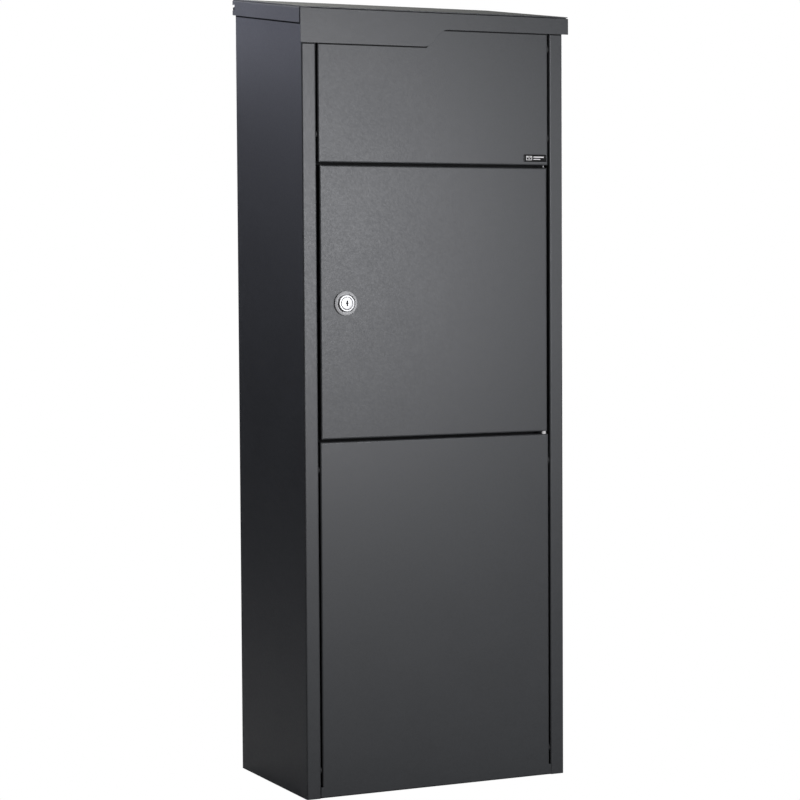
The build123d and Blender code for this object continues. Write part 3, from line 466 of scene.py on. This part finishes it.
def lock_rotor():
    """Rotor with its keyway: at angle t the slot reaches max(hole, min(a / |cos t|, b / |sin t|)), with a
    and b half its height and width, and the tail is a square with its corners cut to a radius,
    min(s / max(|cos t|, |sin t|), radius)."""
    low, high = box_mm("lock_plug")
    columns = 192
    t = np.arange(columns) * 2 * np.pi / columns
    tall, wide = np.abs(np.cos(t)) + 1e-6, np.abs(np.sin(t)) + 1e-6
    slot = np.maximum(KEYHOLE_R, np.minimum(KEYWAY_HALF_TALL / tall, KEYWAY_HALF_WIDE / wide))
    square = np.minimum(TAIL_HALF / np.maximum(tall, wide), TAIL_CORNER_R)
    face = FACE_Y - low[1]
    shoulder = -BARREL_LENGTH - 0.4
    tail = FACE_Y - high[1]
    rims = [
        (slot * 0.8, face - 7.0),
        (slot, face - 6.8),
        (slot, face - 0.25),
        (slot + 0.22, face),
        (np.full(columns, ROTOR_R - 0.8), face),
        (np.full(columns, ROTOR_R - 0.4), face - 0.07),
        (np.full(columns, ROTOR_R - 0.12), face - 0.3),
        (np.full(columns, ROTOR_R), face - 0.7),
        (np.full(columns, ROTOR_R), shoulder + 0.3),
        (np.full(columns, ROTOR_R - 0.3), shoulder),
        (square, shoulder),
        (square, tail + 0.3),
        (square - 0.3, tail),
    ]
    radii = np.array([rim[0] for rim in rims])
    heights = np.array([rim[1] for rim in rims])
    rings = about(LOCK_CENTRE, "-y", radii, heights)
    made("lock_rotor", [skin(rings)], "chrome", "lock_rotor", "lock_plug")


def lock_clamp_nut():
    """Hexagon nut with chamfered corners: each flat's radius is f / cos(t'), t' being the angle from its
    middle, and a cone from the face caps it."""
    low, high = box_mm("lock_nut")
    flats = (high[2] - low[2]) / 2
    columns = 144
    t = np.arange(columns) * 2 * np.pi / columns
    off = np.mod(t + np.pi / 6, np.pi / 3) - np.pi / 6
    hexagon = flats / np.cos(off)
    thickness = high[1] - low[1]
    rows = np.array([0, 0.35, 0.7, 1.05]) * 1.2
    bevel = flats * 1.02 + rows * 1.7
    radii = [np.full(columns, BARREL_R + 0.05), *(np.minimum(hexagon, reach) for reach in bevel)]
    radii += [*(np.minimum(hexagon, reach) for reach in bevel[::-1]), np.full(columns, BARREL_R + 0.05)]
    heights = np.concatenate([[0], rows, thickness - rows[::-1], [thickness]])
    rings = about((LOCK_X, low[1], LOCK_Z), "y", np.array(radii), heights)
    made("lock_clamp_nut", [skin(rings, True)], "zinc_steel", "door", "lock_nut")


# ---------------------------------------------------------------- badge
def plate_rings(centre, direction, half_wide, half_tall, corner, steps):
    """Rings of a plate: a rounded rectangle shrunk by an inset, at a height, for each (inset, height)."""
    axis, across, beside = (np.array(vector, float) for vector in ALONG[direction])
    quarters = [(-1, -1), (1, -1), (1, 1), (-1, 1)]
    outline = eased([(x * half_wide, z * half_tall) for x, z in quarters], corner, 8, True)
    rings = []
    for inset, height in steps:
        size = np.array([(half_wide - inset) / half_wide, (half_tall - inset) / half_tall])
        place = outline * size
        rings.append(np.asarray(centre) + height * axis + place[:, 1:] * across + place[:, :1] * beside)
    return np.array(rings)


def ribbon(path, centre, wide, low, high, closed=False):
    """Raised line along a path of (x, z) points: at each point the side step is the mitre n / (n . n1), n
    being the mean of the normals of the two runs that meet there."""
    path = np.asarray(path, float)
    run = np.roll(path, -1, 0) - path
    if not closed:
        run[-1] = run[-2]
    run /= np.linalg.norm(run, axis=1, keepdims=True)
    normal = np.stack([-run[:, 1], run[:, 0]], 1)
    before = np.roll(normal, 1, 0)
    if not closed:
        before[0] = normal[0]
    mean = normal + before
    mean /= np.linalg.norm(mean, axis=1, keepdims=True)
    side = mean / np.einsum("ij,ij->i", mean, normal)[:, None] * wide / 2
    inner, outer = path - side, path + side
    edges = []
    for place, height in [(inner, low), (inner, high), (outer, high), (outer, low)]:
        depth = np.full(len(place), centre[1] - height)
        edges.append(np.stack([centre[0] + place[:, 0], depth, centre[2] + place[:, 1]], 1))
    return skin(np.stack(edges, 1), closed)


def badge():
    """Plate with a raised rim, and a generic envelope with two bars."""
    low, high = box_mm("badge_plate")
    centre = ((low[0] + high[0]) / 2, high[1], (low[2] + high[2]) / 2)
    half_wide, half_tall = (high[0] - low[0]) / 2, (high[2] - low[2]) / 2
    steps = [(0, 0), (0, 0.7), (0.08, 0.9), (0.3, 1.0), (0.6, 1.0), (0.75, 0.92), (0.85, 0.78)]
    plate = skin(plate_rings(centre, "-y", half_wide, half_tall, 2.0, steps))
    made("badge", [plate], "black_badge", "casing", "badge_plate")
    left, wide, tall = -12.6, 7.6, 4.6
    corners = [(left, -tall / 2), (left + wide, -tall / 2), (left + wide, tall / 2), (left, tall / 2)]
    line = {"centre": centre, "wide": 0.75, "low": 0.7, "high": 0.92}
    marks = [ribbon(corners, closed=True, **line)]
    flap = [(left + 0.4, tall / 2 - 0.4), (left + wide / 2, -0.3), (left + wide - 0.4, tall / 2 - 0.4)]
    marks.append(ribbon(flap, **line))
    marks.append(ribbon([(-2.4, 1.35), (12.6, 1.35)], **{**line, "wide": 1.5}))
    marks.append(ribbon([(-2.4, -1.5), (7.4, -1.5)], **{**line, "wide": 1.1}))
    made("badge_mark", marks, "white_nylon", "casing")


# ---------------------------------------------------------------- fasteners and rubber
RIVET_R, RIVET_HEAD_R = 1.6, 3.2
SCREW_R, SCREW_HEAD_R, SCREW_HEAD, SCREW_PITCH = 2.0, 3.8, 2.4, 0.7
SCREW_THREAD_DEPTH = 0.28
DISC_GAP, RIVET_GAP, SCREW_GAP, PAD_GAP = 3.0, 8.0, 12.0, 50.0  # between separate solids in a node
LID_DISC_STEP = 1.4                # fall of the roof over a resting disc
DISC_LAND, DISC_DISH = 1.6, 0.35
RIB_DEPTH, RIB_PITCH, TRIM_WALL = 0.35, 1.75, 1.2
WASHER_BORE_R = 2.05


def dome(radius, foot, height, steps=7):
    """Profile of a domed head: r = R cos a, h = foot + H sin a, with a from nought to nearly a quarter
    turn."""
    a = np.linspace(0, radians(84), steps)
    return np.stack([radius * np.cos(a), foot + height * np.sin(a)], 1)


def leaf_rivets():
    """Rivets with a domed head inside and a countersunk head flush with the outside of the back wall."""
    low, high = groups("hinge_leaf_rivets", [0], SCREW_GAP)
    skins = []
    for start, end in zip(low, high):
        centre = ((start[0] + end[0]) / 2, end[1], (start[2] + end[2]) / 2)
        length = end[1] - start[1]
        sunk = [(0.3, 0.0), (2.4, 0.0), (RIVET_R, 1.0), (RIVET_R, length - 1.0)]
        skins.append(turned(np.vstack([sunk, dome(RIVET_HEAD_R, length - 1.0, 1.0)]), centre, "-y", 28))
    made("leaf_rivets", skins, "aluminium_rivet", "casing", "hinge_leaf_rivets")


def domed_rivets(node, name, body, shoulder):
    """Rivets along X with a domed head at each end, as high as the shoulder (outer end, inner end)."""
    low, high = groups(node, [0, 2], RIVET_GAP)
    skins = []
    for start, end in zip(low, high):
        left = start[0] + end[0] < 0
        centre = (start[0] if left else end[0], (start[1] + end[1]) / 2, (start[2] + end[2]) / 2)
        length = end[0] - start[0]
        first, last = shoulder
        head = dome(RIVET_HEAD_R, 0, first)[::-1]
        head[:, 1] = first - head[:, 1]
        shank = [(RIVET_R, first), (RIVET_R, length - last)]
        profile = np.vstack([head, shank, dome(RIVET_HEAD_R, length - last, last)])
        skins.append(turned(profile, centre, "x" if left else "-x", 28))
    made(name, skins, "aluminium_rivet", body, node)


def pan_screws():
    """Pan-head screws with a crossed recess and a thread: the crown falls by the fourth power of r / R
    towards the rim, and the shank's radius is R - d (1 + cos(2 pi h / pitch + t)) / 2."""
    low, high = groups("panel_screws", [0, 2], SCREW_GAP)
    columns = 32
    t = np.arange(columns) * 2 * np.pi / columns
    arm = np.minimum(0.5 / (np.abs(np.sin(2 * t)) / 2 + 0.16), 2.0)
    skins = []
    for start, end in zip(low, high):
        left = start[0] + end[0] < 0
        centre = (end[0] if left else start[0], (start[1] + end[1]) / 2, (start[2] + end[2]) / 2)
        length = end[0] - start[0]
        across = np.linspace(2.2, SCREW_HEAD_R, 6)
        crown = 0.9 * (across / SCREW_HEAD_R) ** 4
        thread = np.linspace(SCREW_HEAD, length - 0.5, 64)
        radii = [arm * 0.25, arm * 0.8, arm]
        heights = [1.5, 1.3, 0.05]
        radii += [np.full(columns, reach) for reach in (*across, SCREW_HEAD_R, SCREW_R)]
        heights += [*crown, SCREW_HEAD, SCREW_HEAD]
        wave = 0.5 + 0.5 * np.cos(2 * np.pi * thread[:, None] / SCREW_PITCH + t)
        radii += [*(SCREW_R - SCREW_THREAD_DEPTH * wave), np.full(columns, SCREW_R - 0.5)]
        heights += [*thread, length]
        rings = about(centre, "-x" if left else "x", np.array(radii), np.array(heights))
        skins.append(skin(rings))
    made("pan_screws", skins, "zinc_steel", "casing", "panel_screws")


def buffer_discs(node, name, direction, axes, face, lower=0.0):
    """Moulded discs with a rounded rim and a shallow dish in the face that is met, lower than the CAD's
    by a step."""
    low, high = groups(node, axes, DISC_GAP)
    axis = {"y": 1, "z": 2}[direction[-1]]
    skins = []
    for start, end in zip(low, high):
        centre = (start + end) / 2
        centre[axis] = start[axis] if face == "high" else end[axis]
        thick = end[axis] - start[axis] - lower
        radius = (end[0] - start[0]) / 2
        rim, dish = radius - DISC_LAND, thick - DISC_DISH
        corners = [(0.4, 0), (radius, 0), (radius, thick), (rim, thick), (rim - 0.5, dish), (0.3, dish)]
        skins.append(turned(eased(corners, [0, 0.2, 0.7, 0.3, 0.3, 0]), centre, direction, 40))
    made(name, skins, "black_rubber", "casing", node)


def side_pads():
    """Crowned rubber pads: rounded rectangles that shrink towards the outer face."""
    low, high = groups("lid_side_pads", [0], PAD_GAP)
    skins = []
    for start, end in zip(low, high):
        left = start[0] < 0
        centre = (start + end) / 2
        centre[0] = end[0] if left else start[0]
        thick = end[0] - start[0]
        half_long, half_tall = (end[1] - start[1]) / 2, (end[2] - start[2]) / 2
        steps = [(0.1, 0), (0, 0.2), (0, thick - 0.8)]
        steps += [(0.1, thick - 0.4), (0.4, thick - 0.1), (0.8, thick)]
        rings = plate_rings(centre, "-x" if left else "x", half_long, half_tall, 0.8, steps)
        skins.append(skin(rings))
    made("side_pads", skins, "black_rubber", "casing", "lid_side_pads")


def tip_trim():
    """Rubber channel along the tray's tip: its outline is carried along X, with ribs
    z = foot + d (1 + cos(2 pi y / pitch)) / 2 underneath and the ends drawn in."""
    low, high = box_mm("tray_edge_trim")
    foot, lip, top = low[2], low[2] + TRIM_WALL, high[2]
    skin_y = low[1] + TRIM_WALL
    y = np.linspace(high[1] - 0.4, low[1] + 0.5, 61)
    ribs = np.stack([y, foot + RIB_DEPTH * (0.5 + 0.5 * np.cos(2 * np.pi * y / RIB_PITCH))], 1)
    wall = [(low[1], foot + 0.6), (low[1], top - 0.3), (low[1] + 0.3, top), (skin_y, top)]
    floor = [(skin_y, lip), (high[1] - 0.2, lip), (high[1], foot + 0.7)]
    outline = np.vstack([ribs, wall, floor])
    middle = outline.mean(0)
    ends = [(low[0], 0.94), (low[0] + 0.4, 1.0), (high[0] - 0.4, 1.0), (high[0], 0.94)]
    rings = []
    for x, size in ends:
        rings.append(np.column_stack([np.full(len(outline), x), middle + (outline - middle) * size]))
    made("tip_trim", [skin(np.array(rings))], "black_rubber", "tray", "tray_edge_trim")


def washer():
    """Turned nylon washer under the door with rounded edges."""
    low, high = box_mm("door_washer")
    centre = ((low[0] + high[0]) / 2, (low[1] + high[1]) / 2, low[2])
    outer, thick = (high[0] - low[0]) / 2, high[2] - low[2]
    corners = [(WASHER_BORE_R, 0), (outer, 0), (outer, thick), (WASHER_BORE_R, thick)]
    ring = turned(eased(corners, 0.3, closed=True), centre, "z", 48, True)
    made("washer", [ring], "white_nylon", "casing", "door_washer")


# ---------------------------------------------------------------- studio
VIEW_AZIMUTH = radians(-25.17)     # camera to the left of the front
VIEW_DISTANCE = 3.1945
EYE_HEIGHT = 0.6675
LOOK_DOWN = radians(3.133)
CAMERA_ROLL = radians(-0.333)
SENSOR_WIDTH = 36.0
LENS = 109.31

# Tints, and soft lights: name, place, target, width, height, watts, tint.
COOL, PLAIN, WARM = (0.92, 0.95, 1.16), (0.985, 0.99, 1.03), (1.0, 0.99, 0.93)
SOFTBOXES = [
    ("key", (0.41, -1.75, 0.65), (0, -0.11, 0.65), 0.5, 0.5, 11.9, PLAIN),
    ("front_top", (0.09, -1.10, 0.90), (0, -0.11, 0.80), 0.5, 0.5, 4.6, PLAIN),
    ("left_top", (-0.17, 0.48, 2.14), (0, 0, 1.05), 0.7, 0.7, 33.0, WARM),
    ("left_rear", (-1.78, 1.49, 1.32), (0, 0, 0.70), 1.2, 1.2, 7.8, COOL),
    ("rear_low", (-0.40, 1.09, 1.36), (0, 0, 1.05), 0.7, 0.7, 1.7, COOL),
    ("right_rear", (2.2, 1.0, 1.0), (0, -0.11, 0.60), 1.0, 1.4, 30.0, PLAIN),
    ("rear", (0.7, 2.3, 0.55), (0, 0, 0.55), 1.0, 1.0, 15.0, PLAIN),
]


def place_camera():
    """Camera on a circle round the locker's upright axis, looking slightly down."""
    camera = bpy.data.objects.new("camera", bpy.data.cameras.new("camera"))
    bpy.context.collection.objects.link(camera)
    camera.data.sensor_width = SENSOR_WIDTH
    camera.data.lens = LENS
    camera.data.clip_end = 50
    camera.location = (VIEW_DISTANCE * sin(VIEW_AZIMUTH), -VIEW_DISTANCE * cos(VIEW_AZIMUTH), EYE_HEIGHT)
    level = Vector((-sin(VIEW_AZIMUTH), cos(VIEW_AZIMUTH), 0)) * cos(LOOK_DOWN)
    aim = level - Vector((0, 0, sin(LOOK_DOWN)))
    turn = aim.to_track_quat("-Z", "Y") @ Quaternion((0, 0, 1), CAMERA_ROLL)
    camera.rotation_euler = turn.to_euler()
    bpy.context.scene.camera = camera


def softbox(name, place, target, width, height, power, tint):
    """Rectangular soft light."""
    light = bpy.data.lights.new(name, "AREA")
    light.shape = "RECTANGLE"
    light.size = width
    light.size_y = height
    light.energy = power
    light.color = tint
    lamp = bpy.data.objects.new(name, light)
    bpy.context.collection.objects.link(lamp)
    lamp.location = place
    lamp.rotation_euler = (Vector(target) - Vector(place)).to_track_quat("-Z", "Y").to_euler()


def pale_floor():
    """Large plain floor, white to the camera and a soft grey to the light that it returns."""
    half = 12.0
    mesh = bpy.data.meshes.new("floor")
    corners = [(-half, -half, 0), (half, -half, 0), (half, half, 0), (-half, half, 0)]
    mesh.from_pydata(corners, [], [(0, 1, 2, 3)])
    floor = bpy.data.objects.new("floor", mesh)
    bpy.context.collection.objects.link(floor)
    paint = Finish("pale_floor", Base_Color=grey(0.2), Roughness=0.9)
    white = paint.node("ShaderNodeEmission", {}, {"Color": grey(1.0), "Strength": 1.0})
    seen = paint.node("ShaderNodeLightPath", {}, output="Is Camera Ray")
    matt = Wire(paint, paint.shader.outputs["BSDF"])
    mix = paint.node("ShaderNodeMixShader", {}, [seen, matt, white])
    paint.join(paint.tree.nodes["Material Output"].inputs["Surface"], mix)
    mesh.materials.append(paint.material)


def studio_light():
    """Backdrop, white to the camera and black to every other ray, and the soft lights."""
    world = bpy.data.worlds.new("studio")
    bpy.context.scene.world = world
    world.use_nodes = True
    tree = world.node_tree
    backdrop = tree.nodes["Background"]
    backdrop.inputs["Color"].default_value = (1, 1, 1, 1)
    room = tree.nodes.new("ShaderNodeBackground")
    room.inputs["Color"].default_value = (1, 1, 1, 1)
    room.inputs["Strength"].default_value = 0.0
    path = tree.nodes.new("ShaderNodeLightPath")
    mix = tree.nodes.new("ShaderNodeMixShader")
    tree.links.new(path.outputs["Is Camera Ray"], mix.inputs["Fac"])
    tree.links.new(room.outputs["Background"], mix.inputs[1])
    tree.links.new(backdrop.outputs["Background"], mix.inputs[2])
    tree.links.new(mix.outputs["Shader"], tree.nodes["World Output"].inputs["Surface"])
    for box in SOFTBOXES:
        softbox(*box)


bpy.context.scene.view_settings.view_transform = "Standard"
dress_frame()
BUILDERS = [lock_ring, lock_barrel, lock_rotor, lock_clamp_nut, badge, leaf_rivets, pan_screws]
BUILDERS += [side_pads, tip_trim, washer]
for build in BUILDERS:
    build()
domed_rivets("strike_rivets", "strike_dome_rivets", "casing", (1.0, 1.0))
domed_rivets("tray_arm_rivets", "arm_dome_rivets", "tray", (0.5, 1.0))
buffer_discs("rail_buffers", "rail_discs", "-y", [0, 2], "low")
buffer_discs("lid_rest_buffers", "lid_discs", "z", [0], "high", LID_DISC_STEP)
place_camera()
pale_floor()
studio_light()
